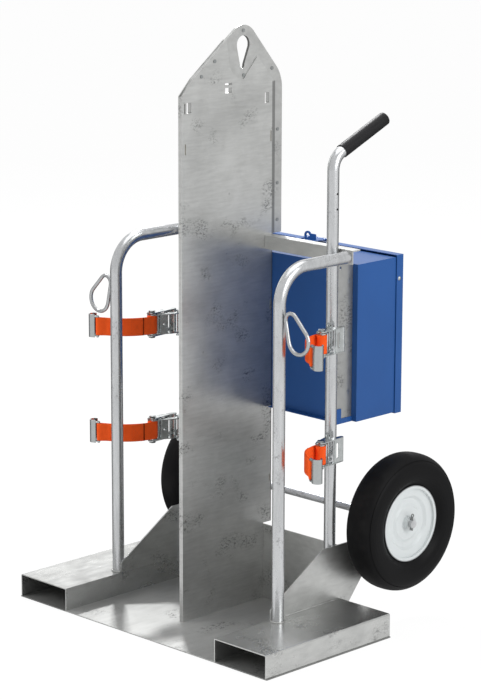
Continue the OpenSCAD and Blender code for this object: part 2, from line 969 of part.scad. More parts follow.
module ratchet_frame(s, z) {
    color(steel)
        at_strap(s, z)
            difference() {
                union() {
                    translate([lug_s, 0, 0])
                        cylinder(r = 7, h = 2*ear_z - 2*gap, center = true);
                    both_z()
                        translate([0, 0, plate_z])
                            linear_extrude(plate_t) {
                                polygon([
                                    [lug_s, -7], [lug_s + 30, -13], [spool_s, -13],
                                    [spool_s, 13], [lug_s + 30, 13], [lug_s, 7]]);
                                translate([spool_s, 0])
                                    circle(13);
                            }
                    translate([lug_s + 36, -13, -plate_z - plate_t])
                        cube([22, 2.5, 2*plate_z + 2*plate_t]);
                    translate([spool_s - gear_r - 12, -1.25, -gear_z - plate_t + 0.1])
                        cube([11.3, 2.5, 2*gear_z + 2*plate_t - 0.2]);
                }
                translate([lug_s, 0, 0])
                    cylinder(r = pin_r + run, h = 2*ear_z + 10, center = true);
                translate([spool_s, 0, 0])
                    cylinder(r = shaft_r + run, h = 2*ear_z + 10, center = true);
                translate([lug_s + 47, -12, 0])
                    rotate([90, 0, 0])
                        cylinder(r = 3, h = 10, center = true, $fn = 24);
            }
}

module gear2d(r, teeth) {
    polygon([for (k = [0:teeth - 1], e = [0, 1])
        let (a = 360*(k + 0.75*e)/teeth)
        [(r - 3*e)*cos(a), (r - 3*e)*sin(a)]]);
}

module spool(s, z) {
    color(steel)
        at_strap(s, z)
            translate([spool_s, 0, 0])
                difference() {
                    union() {
                        cylinder(r = shaft_r, h = 2*nut_z, center = true);
                        both_z() {
                            translate([0, 0, gear_z])
                                linear_extrude(plate_t)
                                    gear2d(gear_r, 12);
                            translate([0, 0, nut_z])
                                cylinder(r = 9.5, h = 4.5, $fn = 6);
                        }
                    }
                    cube([2*shaft_r + 2, 3.4, web_w + 1], center = true);
                }
}

module lever(s, z) {
    bar_r = 6;
    plate_l = 34;
    color(steel)
        at_strap(s, z)
            translate([spool_s, 0, 0])
                rotate([0, 0, lever_turn])
                    difference() {
                        union() {
                            both_z() {
                                translate([0, 0, arm_z])
                                    linear_extrude(plate_t) {
                                        circle(12.5);
                                        polygon([
                                            [0, -12.5], [lever_len*0.55, -9], [lever_len, -bar_r],
                                            [lever_len, bar_r], [lever_len*0.55, 9], [0, 12.5]]);
                                        translate([lever_len, 0])
                                            circle(bar_r);
                                    }
                                translate([gear_r + 0.5, -4, gear_z + 0.2])
                                    cube([15, 7, arm_z - gear_z]);
                            }
                            translate([lever_len, 0, 0])
                                cylinder(r = bar_r, h = 2*arm_z + plate_t, center = true);
                            translate([lever_len - plate_l, -bar_r + 0.5, -arm_z - 0.5])
                                cube([plate_l, plate_t, 2*arm_z + 1]);
                        }
                        cylinder(r = shaft_r + run, h = 100, center = true);
                        translate([lever_len - plate_l/2 - 4, 0, 0])
                            rotate([90, 0, 0])
                                linear_extrude(20) {
                                    square([11, arm_z], center = true);
                                    for (e = [-1, 1])
                                        translate([0, e*arm_z/2])
                                            circle(5.5, $fn = 32);
                                }
                    }
}

module at_web(s, z) {
    at_strap(s, z)
        translate([spool_s, 0, 0])
            rotate([0, 0, web_turn])
                children();
}

// one unbroken strip: turns on the spool, run to the hook, loop round its bar, sewn tail back
web_pitch = web_t + turn_gap;
roll_in = shaft_r + 0.5 + web_t/2;
roll_out = roll_in + web_pitch*web_turns;
loop_r = bar_r + gap + web_t/2;
bend_l = web_bend_r*web_bend*PI/180;
tail_s = 28;
taper_s = 30;
turn_steps = 24;
run_steps = 20;

function blend(u) = (1 - cos(180*u))/2;
function web_way(d) = min(d, bend_l)/web_bend_r*180/PI;
function web_spot(d, in = 0) =
    let (a = web_way(d), ahead = [cos(a), sin(a)], inner = [sin(a), -cos(a)])
    [0, web_bend_r - roll_out] + web_bend_r*inner + max(0, d - bend_l)*ahead + in*inner;
function run_d(k, d0) = d0 + (hook_s - d0)*k/run_steps;
function tail_in(d) = 2*loop_r - (2*loop_r - web_pitch)*blend(min(1, (hook_s - d)/taper_s));
bar_at = web_spot(hook_s, loop_r);
web_path = concat(
    [for (k = [0:web_turns*turn_steps])
        let (a = 360*(k/turn_steps - web_turns) - 90, r = roll_in + web_pitch*k/turn_steps)
        [r*cos(a), r*sin(a)]],
    [for (k = [1:run_steps]) web_spot(run_d(k, 0))],
    [for (a = [75:-15:-75]) bar_at + loop_r*[cos(a + web_bend), sin(a + web_bend)]],
    [for (k = [run_steps:-1:0]) let (d = run_d(k, tail_s)) web_spot(d, tail_in(d))]);

function heading(p, i) = let (d = p[min(i + 1, len(p) - 1)] - p[max(i - 1, 0)]) d/norm(d);
function beside(p, d) = [for (i = [0:len(p) - 1]) let (h = heading(p, i)) p[i] + d*[-h[1], h[0]]];
function turned(p) = [for (i = [len(p) - 1:-1:0]) p[i]];
function least_gap(p, t, skip) =
    min([for (i = [0:len(p) - 1 - skip], j = [i + skip:len(p) - 1]) norm(p[i] - p[j])]) - t;

echo(str("least gap of the webbing to itself, mm: ", least_gap(web_path, web_t, turn_steps/2)));

module web(s, z) {
    color(orange)
        at_web(s, z)
            translate([0, 0, -web_w/2])
                linear_extrude(web_w)
                    polygon(concat(beside(web_path, web_t/2), turned(beside(web_path, -web_t/2))));
}

module hook(s, z) {
    bar_z = web_w/2 + hook_over;
    lead = loop_r + web_t/2 + 4;
    curl_r = 12.2;
    curl_t = 2.5;
    arm_h = bar_r + 0.8;
    color(steel)
        at_web(s, z)
            translate(bar_at)
                rotate([0, 0, web_bend]) {
                    cylinder(r = bar_r, h = 2*bar_z - 2, center = true);
                    both_z()
                        translate([-arm_h, -arm_h, web_w/2 + 0.7])
                            cube([lead + arm_h + 1, 2*arm_h, 3]);
                    translate([lead, 0, -bar_z])
                        linear_extrude(2*bar_z) {
                            translate([0, -curl_t/2])
                                square([7.5, curl_t]);
                            translate([7.5, curl_r])
                                difference() {
                                    ring2d(curl_r + curl_t/2, curl_t);
                                    polygon([[0, 0], [-16, 36], [-40, 36], [-40, -40], [0, -40]]);
                                }
                        }
                }
}

base_plate();
pocket(1);  // pocket_right
pocket(-1);  // pocket_left
side_plate(1);  // side_plate_right
side_plate(-1);  // side_plate_left
back_plate();
skin(1);  // skin_right
skin(-1);  // skin_left
core_board();
lift_plate();
barrier_rivets();
front_post(1);  // front_post_right
front_post(-1);  // front_post_left
back_post(1);  // back_post_right
back_post(-1);  // back_post_left
grip(1);  // grip_right
grip(-1);  // grip_left
rod_loop(1);  // rod_loop_right
rod_loop(-1);  // rod_loop_left
rail(1);  // rail_right
rail(-1);  // rail_left
standoff(1);  // standoff_right
standoff(-1);  // standoff_left
box_body();
box_lid();
lid_pin();
lid_rivets();
hasp_eye();
hasp_flap();
box_bolts();
axle();
tyre(1);  // tyre_right
tyre(-1);  // tyre_left
rim(1);  // rim_right
rim(-1);  // rim_left
bush(1);  // bush_right
bush(-1);  // bush_left
axle_spacers();
cotter_pins();
strap_lugs();
ratchet_frame(1, strap_ru_z);  // frame_ru
ratchet_frame(1, strap_rl_z);  // frame_rl
ratchet_frame(-1, strap_lu_z);  // frame_lu
ratchet_frame(-1, strap_ll_z);  // frame_ll
lever(1, strap_ru_z);  // lever_ru
lever(1, strap_rl_z);  // lever_rl
lever(-1, strap_lu_z);  // lever_lu
lever(-1, strap_ll_z);  // lever_ll
spool(1, strap_ru_z);  // spool_ru
spool(1, strap_rl_z);  // spool_rl
spool(-1, strap_lu_z);  // spool_lu
spool(-1, strap_ll_z);  // spool_ll
web(1, strap_ru_z);  // web_ru
web(1, strap_rl_z);  // web_rl
web(-1, strap_lu_z);  // web_lu
web(-1, strap_ll_z);  // web_ll
hook(1, strap_ru_z);  // hook_ru
hook(1, strap_rl_z);  // hook_rl
hook(-1, strap_lu_z);  // hook_lu
hook(-1, strap_ll_z);  // hook_ll
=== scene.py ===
"""Looks for a galvanised gas cylinder trolley: finishes for its plates, tubes, toolbox and wheels, woven
webbing, welds and the studio that it stands in. Lengths are in metres, in the trolley's own frame."""

import math

import bpy
from bpy.props import FloatProperty, FloatVectorProperty, PointerProperty
from mathutils import Matrix, Vector


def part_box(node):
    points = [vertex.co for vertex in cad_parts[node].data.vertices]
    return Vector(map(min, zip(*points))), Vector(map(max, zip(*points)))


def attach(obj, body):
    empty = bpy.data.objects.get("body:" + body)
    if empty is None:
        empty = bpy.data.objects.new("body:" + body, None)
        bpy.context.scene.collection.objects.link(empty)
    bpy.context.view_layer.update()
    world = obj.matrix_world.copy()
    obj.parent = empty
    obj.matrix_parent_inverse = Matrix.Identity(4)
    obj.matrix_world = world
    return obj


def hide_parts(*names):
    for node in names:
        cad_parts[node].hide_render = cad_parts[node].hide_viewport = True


bl_info = {
    "name": "Gas Cylinder Trolley Looks",
    "version": (1, 0, 0),
    "blender": (4, 5, 0),
    "location": "View3D > Sidebar > Trolley",
    "description": "Finishes, webbing, welds and studio for a gas cylinder trolley",
    "category": "Object",
}

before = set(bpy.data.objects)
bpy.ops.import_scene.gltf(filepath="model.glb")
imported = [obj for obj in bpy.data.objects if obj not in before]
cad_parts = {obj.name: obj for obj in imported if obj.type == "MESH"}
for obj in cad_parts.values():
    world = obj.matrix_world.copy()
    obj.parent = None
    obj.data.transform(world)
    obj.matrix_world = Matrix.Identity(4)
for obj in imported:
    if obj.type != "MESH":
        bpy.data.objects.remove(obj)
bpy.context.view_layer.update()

STRAPS = ("ru", "rl", "lu", "ll")
SIDES = ("right", "left")

# Webbing: steps in a turn on the spool, on the run, round the hook's bar, on the tail and across the band
TURN_STEPS, RUN_STEPS, LOOP_STEPS, TAIL_STEPS, BAND_STEPS = 48, 60, 24, 50, 12
SPOOL_CLEARANCE, BAR_CLEARANCE = 0.0005, 0.0003
TAIL_EASE = 0.030
EDGE_ROUND, EDGE_THIN, EDGE_POWER = 0.0004, 0.28, 10
WEAVE_RATE = 2600.0

# Sewing on the tail: a box with a cross, rows by the hook's bar, and the form of one stitch
SEAM_INSET, SEAM_BOX, SEAM_RISE = 0.006, 0.030, 0.00005
BAR_ROW, ROW_GAP = 0.034, 0.004
STITCH_STEP, STITCH_START, STITCH_STOP = 0.0034, 0.12, 0.88
STITCH_LIFT, STITCH_SIDES = 0.00018, 6
STITCH_RADII = (0.0002, 0.00035, 0.00038, 0.00035, 0.0002)

# Weld beads: radius and length of a puddle in each, their form, and how they lie on tubes and plates
POST_BEAD, EDGE_BEAD, CORNER_BEAD = (0.0026, 0.0045), (0.0024, 0.005), (0.0018, 0.004)
BEAD_STEP, BEAD_SIDES = 0.0011, 8
BEAD_LOW, BEAD_SWELL = 0.84, 0.2
BEAD_END, BEAD_GROWTH = 0.45, 0.2
FOOT_RISE, FOOT_GAP = 0.0012, 0.0008
EDGE_START, EDGE_STOP = 0.03, 0.004
CORNER_GAP, CORNER_RISES = 0.0004, (0.001, 0.022)

# The lifting eye's middle, and the half width and half height of an oval round it
EYE_BACK, EYE_BELOW_TOP = 0.152, 0.075
EYE_HALF_WIDTH, EYE_HALF_HEIGHT = 0.033, 0.060

# Radii at which a tyre's flank turns into its tread, and how closely its fine rings follow each other
TREAD_START, TREAD_STOP, RING_RATE = 0.176, 0.189, 1500.0

# Studio; each lamp has its place, power, size and whether metal mirrors it
WHITE = (1.0, 1.0, 1.0, 1.0)
WHITE_RAYS = ("Is Camera Ray", "Is Glossy Ray", "Is Transmission Ray")
FLOOR_REACH, FLOOR_DROP = 40.0, 0.0005
LAMP_AIM = Vector((0, 0.1, 0.7))
LAMPS = (
    ("back_lamp", (-3.66, 2.98, 4.55), 240, 0.45, True),
    ("front_lamp", (-3.2, -3.6, 3.9), 185, 3.6, False),
    ("side_lamp", (4.6, 0.6, 2.6), 95, 3.0, True),
    ("top_lamp", (0.3, 0.6, 4.6), 60, 3.6, True),
)


# Shader values


class Val:
    """A shader socket that takes part in Python arithmetic."""

    def __init__(self, owner, socket):
        self.owner = owner
        self.socket = socket

    def _math(self, operation, first, second):
        return self.owner.node("ShaderNodeMath", {"operation": operation}, {0: first, 1: second})

    def __add__(self, other):
        return self._math("ADD", self, other)

    def __radd__(self, other):
        return self._math("ADD", other, self)

    def __sub__(self, other):
        return self._math("SUBTRACT", self, other)

    def __rsub__(self, other):
        return self._math("SUBTRACT", other, self)

    def __mul__(self, other):
        return self._math("MULTIPLY", self, other)

    def __rmul__(self, other):
        return self._math("MULTIPLY", other, self)

    def __truediv__(self, other):
        return self._math("DIVIDE", self, other)

    def __rtruediv__(self, other):
        return self._math("DIVIDE", other, self)

    def __pow__(self, other):
        return self._math("POWER", self, other)

    def __rpow__(self, other):
        return self._math("POWER", other, self)

    def __abs__(self):
        return self.owner.node("ShaderNodeMath", {"operation": "ABSOLUTE"}, {0: self})


class Nodes:
    """A tree of shader nodes that grows as its values are written down."""

    def __init__(self, tree):
        self.tree = tree
        tree.nodes.clear()

    def node(self, kind, settings=None, sockets=None, out=0):
        """Adds a node, sets its settings first and then its sockets, and returns one of its outputs."""
        made = self.tree.nodes.new(kind)
        for key, value in (settings or {}).items():
            setattr(made, key, value)
        for key, value in (sockets or {}).items():
            self.feed(made.inputs[key], value)
        return Val(self, made.outputs[out]) if made.outputs else None

    def feed(self, socket, value):
        """Links a value to a socket, or sets a plain number or colour on it."""
        if isinstance(value, Val):
            self.tree.links.new(value.socket, socket)
        else:
            socket.default_value = value

    def place(self, scale=(1, 1, 1), shift=(0, 0, 0)):
        """The point on the piece in the trolley's frame, stretched and shifted."""
        point = self.node("ShaderNodeTexCoord", out="Object")
        if shift != (0, 0, 0):
            point = self.node("ShaderNodeVectorMath", {"operation": "ADD"}, {0: point, 1: shift})
        return self.node("ShaderNodeVectorMath", {"operation": "MULTIPLY"}, {0: point, 1: scale})

    def axes(self, vector):
        """The three numbers of a vector."""
        return [self.node("ShaderNodeSeparateXYZ", None, {0: vector}, out=k) for k in range(3)]

    def noise(self, vector, detail=2.0, rough=0.5, warp=0.0):
        """Cloudy noise from 0 to 1, one cloud to each unit of the vector."""
        return self.node("ShaderNodeTexNoise", {"noise_dimensions": "3D"}, {
            "Vector": vector, "Scale": 1.0, "Detail": detail, "Roughness": rough, "Distortion": warp})

    def cells(self, vector):
        """The distance to the middle of the nearest cell."""
        return self.node("ShaderNodeTexVoronoi", {"feature": "F1"}, {"Vector": vector, "Scale": 1.0},
                         out="Distance")

    def sine(self, value):
        """A wave from -1 to 1."""
        return self.node("ShaderNodeMath", {"operation": "SINE"}, {0: value})

    def ray(self, kind):
        """1 where a ray is of that kind."""
        return self.node("ShaderNodeLightPath", out=kind)

    def white_rays(self):
        """1 for the rays that see the studio's pale background."""
        return sum((self.ray(kind) for kind in WHITE_RAYS), 0.0)

    def span(self, value, low, high, start=0.0, stop=1.0):
        """value, from low to high, mapped to start to stop and held there."""
        return self.node("ShaderNodeMapRange", {"clamp": True}, {
            "Value": value, "From Min": low, "From Max": high, "To Min": start, "To Max": stop})

    def mix(self, factor, first, second):
        """A colour between two colours."""
        return self.node("ShaderNodeMix", {"data_type": "RGBA"}, {0: factor, 6: first, 7: second}, out=2)

    def bump(self, height, strength, distance):
        """A normal that tilts with the height."""
        return self.node("ShaderNodeBump", None, {
            "Height": height, "Strength": strength, "Distance": distance}, out="Normal")


class Finish(Nodes):
    """One procedural material, with its node tree and its shader."""

    def __init__(self, name, **constants):
        self.material = bpy.data.materials.new(name)
        self.material.use_nodes = True
        super().__init__(self.material.node_tree)
        self.shader = self.tree.nodes.new("ShaderNodeBsdfPrincipled")
        self.end = self.tree.nodes.new("ShaderNodeOutputMaterial")
        self.tree.links.new(self.shader.outputs["BSDF"], self.end.inputs["Surface"])
        for key, value in constants.items():
            self.shader.inputs[key.replace("_", " ").title().replace("Ior", "IOR")].default_value = value

    def surface(self, **sockets):
        """Links what varies over the piece to the shader."""
        for key, value in sockets.items():
            self.feed(self.shader.inputs[key.replace("_", " ").title()], value)
        return self.material


def toned(colour, gain):
    """A lighter or darker colour."""
    return [v * gain for v in colour]


def rgba(colour, gain=1.0):
    """A colour for a socket, lighter or darker by gain."""
    return (*toned(colour, gain), 1.0)


def dress(material, *nodes):
    """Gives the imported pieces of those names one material."""
    for name in nodes:
        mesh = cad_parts[name].data
        mesh.materials.clear()
        mesh.materials.append(material)


# Finishes


def zinc_coat(name, tone, streak, rough=0.3, stain=0.5, metal=0.8, dark=None):
    """Hot-dip zinc: faint rolled lines along the sheet, cloudy blotches, dark scuffs and small dots.

    dark gives the share of painted shade at each place, where the sheet has some."""
    f = Finish(name, metallic=metal, specular_ior_level=0.5)
    rolled = f.noise(f.place(streak), detail=3.0, rough=0.6, warp=0.25)
    cloud = f.noise(f.place((5.0, 5.0, 5.0)), detail=3.0, rough=0.55, warp=0.4)
    blotch = f.noise(f.place((19.0, 19.0, 22.0), (0.7, 2.3, 1.1)), detail=4.0, rough=0.62, warp=0.5)
    patch = f.noise(f.place((9.0, 9.0, 11.0), (3.1, 1.7, 0.4)), detail=2.0, rough=0.5, warp=0.2)
    speck = f.noise(f.place((150.0, 110.0, 190.0)), detail=4.0, rough=0.7, warp=0.6)
    scuff = f.span(patch, 0.57, 0.68) * f.span(speck, 0.49, 0.6)
    drop = f.cells(f.place((16.0, 16.0, 16.0), (0.3, 0.9, 0.1)))
    dot = f.span(drop, 0.035, 0.07, 1.0, 0.0) * f.span(cloud, 0.48, 0.55)
    wave = (rolled - 0.5) * 0.9 + (cloud - 0.5) * 0.7 + (blotch - 0.5) * 0.7
    base = f.mix(f.span(wave, -0.4, 0.4), rgba(tone, 0.84), rgba(tone, 1.16))
    base = f.mix(scuff * stain, base, rgba(tone, 0.3))
    base = f.mix(dot * 0.45, base, rgba(tone, 0.4))
    gloss = f.span(wave, -0.4, 0.4, rough - 0.04, rough + 0.05) + scuff * 0.14
    if dark:
        # Painted shade: darker, duller zinc where dark says shade falls.
        grime_and_shade = dark(f)
        base = f.mix(grime_and_shade, base, rgba(tone, 0.3))
        gloss = gloss + grime_and_shade * 0.15
    grain = rolled * 0.8 + speck * 0.2
    return f.surface(base_color=base, roughness=gloss, normal=f.bump(grain, strength=0.06, distance=0.0008))


def seam_painted_shade(f):
    """Painted shade in the step beside the barrier's bare back flange, below its shoulder."""
    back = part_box("lift_plate")[1][1]
    start, stop, soft = -0.0415, -0.0265, 0.0015
    low, high, share = 1.459, 1.463, 0.78
    _, y, z = f.axes(f.place((1, 1, 1), (0.0, -back, 0.0)))
    band = f.span(y, start, start + soft) * f.span(y, stop - soft, stop, 1.0, 0.0)
    return band * f.span(z, low, high, share, 0.0)


def eye_painted_shade(f):
    """Painted shade on the lifting eye's inner wall, and the painted shade beside the flange."""
    half, _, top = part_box("lift_plate")[1]
    deep, soft = 0.0005, 0.0003
    x, y, z = f.axes(f.place((1, 1, 1), (0.0, -EYE_BACK, EYE_BELOW_TOP - top)))
    oval = (y * y / EYE_HALF_WIDTH ** 2 + z * z / EYE_HALF_HEIGHT ** 2) ** 0.5
    # Painted shade: the cut wall round the eye's hole is darkened where it lies in shade.
    near = f.span(oval, 0.97, 1.0, 1.0, 0.0)
    wall = f.span(abs(x), half - deep, half - deep + soft, 1.0, 0.0)
    return f.node("ShaderNodeMath", {"operation": "MAXIMUM"}, {0: near * wall, 1: seam_painted_shade(f)})


def pocket_painted_shade(f):
    """Painted shade on the base plate inside the fork pockets."""
    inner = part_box("pocket_right")[0][0]
    start, stop, share = 0.0015, 0.0040, 0.55
    x, _, _ = f.axes(f.place())
    return f.span(abs(x), inner + start, inner + stop, 0.0, share)


def tube_zinc(name, tone):
    """Zinc on tube: smooth and bright, with soft runs along the tube and dull rubbed spots."""
    f = Finish(name, metallic=0.88)
    along = f.noise(f.place((60.0, 60.0, 8.0)), detail=3.0, rough=0.55, warp=0.4)
    cloud = f.noise(f.place((18.0, 18.0, 12.0)), detail=3.0, rough=0.6, warp=0.3)
    speck = f.noise(f.place((210.0, 210.0, 150.0)), detail=3.0, rough=0.7, warp=0.4)
    dull = f.span(cloud, 0.58, 0.66) * f.span(speck, 0.52, 0.62)
    base = f.mix(f.span(along, 0.3, 0.7), rgba(tone, 0.9), rgba(tone, 1.08))
    base = f.mix(dull * 0.7, base, rgba(tone, 0.4))
    gloss = f.span(cloud, 0.3, 0.7, 0.22, 0.3) + dull * 0.15
    return f.surface(base_color=base, roughness=gloss,
                     normal=f.bump(along * 0.8 + speck * 0.1, strength=0.03, distance=0.0006))


def plated_steel(name, tone, rough=0.28, worn=0.18):
    """Bright zinc plate on the small steel pieces, with soft worn patches."""
    f = Finish(name, metallic=1.0)
    cloud = f.noise(f.place((60.0, 60.0, 60.0)), detail=3.0, rough=0.6)
    speck = f.noise(f.place((420.0, 420.0, 420.0)), detail=2.0, rough=0.6)
    base = f.mix(f.span(cloud, 0.35, 0.68), rgba(tone, 1 - worn), rgba(tone, 1 + worn * 0.6))
    gloss = f.span(cloud, 0.3, 0.7, rough - worn * 0.3, rough + worn * 0.6)
    return f.surface(base_color=base, roughness=gloss, normal=f.bump(speck, strength=0.06, distance=0.0006))


def box_paint(name, tone):
    """Semi-gloss paint with a faint orange-peel skin and soft cloudy tone."""
    f = Finish(name, specular_ior_level=0.2)
    peel = f.noise(f.place((330.0, 330.0, 330.0)), detail=2.0, rough=0.5)
    cloud = f.noise(f.place((4.0, 4.0, 4.0)), detail=3.0, rough=0.5)
    grit = f.noise(f.place((240.0, 240.0, 240.0), (0.2, 0.7, 0.1)), detail=2.0, rough=0.6)
    fleck = f.span(grit, 0.72, 0.78)
    base = f.mix(f.span(cloud, 0.3, 0.7), rgba(tone, 0.94), rgba(tone, 1.06))
    base = f.mix(fleck * 0.3, base, rgba(tone, 0.55))
    gloss = f.span(cloud, 0.3, 0.7, 0.3, 0.38)
    return f.surface(base_color=base, roughness=gloss, normal=f.bump(peel, strength=0.05, distance=0.0006))


def wheel_radius(f, axle):
    """The distance from the axle's middle line."""
    _, y, z = f.axes(f.place((1, 1, 1), (0.0, -axle[0], -axle[1])))
    return (y * y + z * z) ** 0.5


def tyre_rubber(name, tone, axle):
    """Moulded black rubber: satin flanks with fine rings, a duller tread band and a little dust."""
    f = Finish(name, specular_ior_level=0.1)
    radius = wheel_radius(f, axle)
    rings = f.sine(radius * RING_RATE)
    grain = f.noise(f.place((260.0, 260.0, 260.0)), detail=3.0, rough=0.6)
    cloud = f.noise(f.place((14.0, 14.0, 14.0)), detail=3.0, rough=0.6)
    tread = f.span(radius, TREAD_START, TREAD_STOP)
    dust = tread * f.span(cloud, 0.42, 0.7)
    base = f.mix(dust * 0.12, rgba(tone), (0.06, 0.059, 0.056, 1.0))
    base = f.mix(f.span(grain, 0.5, 0.8) * 0.2, base, rgba(tone, 1.9))
    gloss = 0.44 + tread * 0.2 + (cloud - 0.5) * 0.12
    return f.surface(base_color=base, roughness=gloss,
                     normal=f.bump(rings * 0.06 + grain * 0.5, strength=0.12, distance=0.0008))


def rim_paint(name, tone, axle, lip):
    """Pale paint on the pressed disc with a little grime, bare grey steel on the rolled lip."""
    f = Finish(name, specular_ior_level=0.5)
    radius = wheel_radius(f, axle)
    start, stop = 0.003, 0.0015
    bare = f.span(radius, lip - start, lip - stop)
    cloud = f.noise(f.place((22.0, 22.0, 22.0)), detail=4.0, rough=0.6)
    speck = f.noise(f.place((150.0, 150.0, 150.0)), detail=3.0, rough=0.65)
    grime_and_shade = f.span(cloud, 0.52, 0.72) * f.span(speck, 0.45, 0.65)
    base = f.mix(grime_and_shade * 0.22, rgba(tone), (0.46, 0.46, 0.44, 1.0))
    base = f.mix(bare, base, (0.36, 0.37, 0.38, 1.0))
    gloss = f.span(cloud, 0.3, 0.7, 0.3, 0.42) + grime_and_shade * 0.15
    return f.surface(base_color=base, roughness=gloss, metallic=bare * 0.85,
                     normal=f.bump(speck * 0.5 + cloud * 0.5, strength=0.08, distance=0.001))


def grip_rubber(name, tone):
    """Smooth black grip with faint lines along it and a little dust."""
    f = Finish(name, specular_ior_level=0.18)
    line = f.noise(f.place((420.0, 14.0, 420.0)), detail=2.0, rough=0.5)
    cloud = f.noise(f.place((30.0, 30.0, 30.0)), detail=3.0, rough=0.6)
    base = f.mix(f.span(cloud, 0.4, 0.75), rgba(tone), rgba(tone, 1.5))
    return f.surface(base_color=base, roughness=f.span(cloud, 0.3, 0.7, 0.46, 0.56),
                     normal=f.bump(line, strength=0.08, distance=0.0005))


def mineral_board(name, tone):
    """Pressed mineral board inside the barrier."""
    f = Finish(name, specular_ior_level=0.2)
    fibre = f.noise(f.place((90.0, 40.0, 160.0)), detail=5.0, rough=0.65)
    base = f.mix(f.span(fibre, 0.35, 0.7), rgba(tone, 0.85), rgba(tone, 1.08))
    return f.surface(base_color=base, roughness=0.85 + (fibre - 0.5) * 0.1,
                     normal=f.bump(fibre, strength=0.3, distance=0.001))


def woven_web(name, tone, edge, end):
    """Orange polyester webbing: a tight diagonal weave by the band's UV, bound edges and painted shade at
    the tail's end.
    """
    f = Finish(name, specular_ior_level=0.05)
    along, across, _ = f.axes(f.node("ShaderNodeTexCoord", out="UV"))
    thread = f.sine((along + across) * WEAVE_RATE) * f.sine((along - across) * WEAVE_RATE)
    bound_start, bound_stop = edge - 0.003, edge - 0.001
    tail_shade_start, tail_shade_stop = end - 0.0035, end - 0.0025
    selvage = f.span(abs(across), bound_start, bound_stop)
    cloud = f.noise(f.place((40.0, 40.0, 40.0)), detail=3.0, rough=0.6)
    base = f.mix(f.span(thread, -0.8, 0.8), rgba(tone, 0.8), rgba(tone, 1.12))
    base = f.mix(f.span(cloud, 0.45, 0.75) * 0.25, base, rgba(tone, 0.6))
    base = f.mix(selvage * 0.35, base, rgba(tone, 0.72))
    # Painted shade: the last few millimetres of the tail are darkened, standing for the shadow at its end.
    base = f.mix(f.span(along, tail_shade_start, tail_shade_stop), base, rgba(tone, 0.18))
    return f.surface(base_color=base, roughness=0.72 + (cloud - 0.5) * 0.12,
                     normal=f.bump(thread * 0.5, strength=0.35, distance=0.0005))


def sewing_thread(name, tone):
    """Twisted thread with fine light and dark plies."""
    f = Finish(name, specular_ior_level=0.3)
    ply = f.noise(f.place((1500.0, 1500.0, 1500.0)), detail=2.0, rough=0.5)
    base = f.mix(ply, rgba(tone, 0.7), rgba(tone, 1.15))
    return f.surface(base_color=base, roughness=0.65 + ply * 0.15,
                     normal=f.bump(ply, strength=0.2, distance=0.0002))


# Meshes


def new_piece(name, points, faces, material, body, uv=None):
    """A mesh in the trolley's frame that rides on a body."""
    mesh = bpy.data.meshes.new(name)
    mesh.from_pydata(points, [], faces)
    mesh.update()
    if uv is not None:
        layer = mesh.uv_layers.new(name="band")
        for loop in mesh.loops:
            layer.data[loop.index].uv = uv[loop.vertex_index]
    for poly in mesh.polygons:
        poly.use_smooth = True
    mesh.materials.append(material)
    piece = bpy.data.objects.new(name, mesh)
    bpy.context.scene.collection.objects.link(piece)
    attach(piece, body)
    return piece


def tube_rings(path, radii, sides, closed, up=Vector((0, 0, 1))):
    """Points and faces of a round bead along a path, with one radius per point."""
    points, faces = [], []
    count = len(path)
    for k, here in enumerate(path):
        back = path[(k - 1) % count] if closed or k > 0 else here
        ahead = path[(k + 1) % count] if closed or k < count - 1 else here
        way = (ahead - back).normalized()
        side = way.cross(up)
        side = side.normalized() if side.length > 1e-6 else way.orthogonal().normalized()
        over = side.cross(way)
        for j in range(sides):
            a = 2 * math.pi * j / sides
            points.append(here + radii[k] * (math.cos(a) * side + math.sin(a) * over))
    for k in range(count if closed else count - 1):
        n = (k + 1) % count
        for j in range(sides):
            m = (j + 1) % sides
            faces.append((k * sides + j, k * sides + m, n * sides + m, n * sides + j))
    if not closed:
        faces.append(tuple(range(sides - 1, -1, -1)))
        faces.append(tuple((count - 1) * sides + j for j in range(sides)))
    return points, faces


def bead(path, radius, ripple, closed):
    """A weld bead: a rope of overlapping puddles along the path, thin at its open ends."""
    dense, radii = [], []
    count = len(path) if closed else len(path) - 1
    for k in range(count):
        a, b = path[k], path[(k + 1) % len(path)]
        parts = max(1, int((b - a).length / BEAD_STEP))
        dense.extend(a.lerp(b, j / parts) for j in range(parts))
    if not closed:
        dense.append(path[-1])
    for k in range(len(dense)):
        swell = abs(math.sin(k * BEAD_STEP * math.pi / ripple))
        end = 1.0 if closed else min(1.0, BEAD_END + BEAD_GROWTH * min(k, len(dense) - 1 - k))
        radii.append(radius * (BEAD_LOW + BEAD_SWELL * swell) * end)
    return tube_rings(dense, radii, BEAD_SIDES, closed)


def circle_path(centre, radius, count=48):
    """Points on a level circle."""
    turns = [2 * math.pi * k / count for k in range(count)]
    return [centre + Vector((radius * math.cos(a), radius * math.sin(a), 0)) for a in turns]


def join_parts(parts):
    """Several point and face lists as one."""
    points, faces = [], []
    for some, cells in parts:
        start = len(points)
        points.extend(some)
        faces.extend(tuple(i + start for i in cell) for cell in cells)
    return points, faces


# Webbing


def web_spot(w, far, beside=0.0):
    """A point far along the run from the spool, and beside it on its outer side, in the spool's frame."""
    curve = w.bend_radius * w.bend
    a = min(far, curve) / w.bend_radius
    ahead = Vector((math.cos(a), math.sin(a)))
    outer = Vector((math.sin(a), -math.cos(a)))
    centre = Vector((0.0, w.bend_radius - roll_radius(w)))
    return centre + (w.bend_radius + beside) * outer + max(0.0, far - curve) * ahead


def web_pitch(w):
    """From one turn on the spool to the next."""
    return w.thick + w.turn_gap


def roll_core(w):
    """The radius of the innermost turn."""
    return w.shaft + SPOOL_CLEARANCE + w.thick / 2


def roll_radius(w):
    """The radius at which the webbing leaves the spool."""
    return roll_core(w) + web_pitch(w) * w.turns


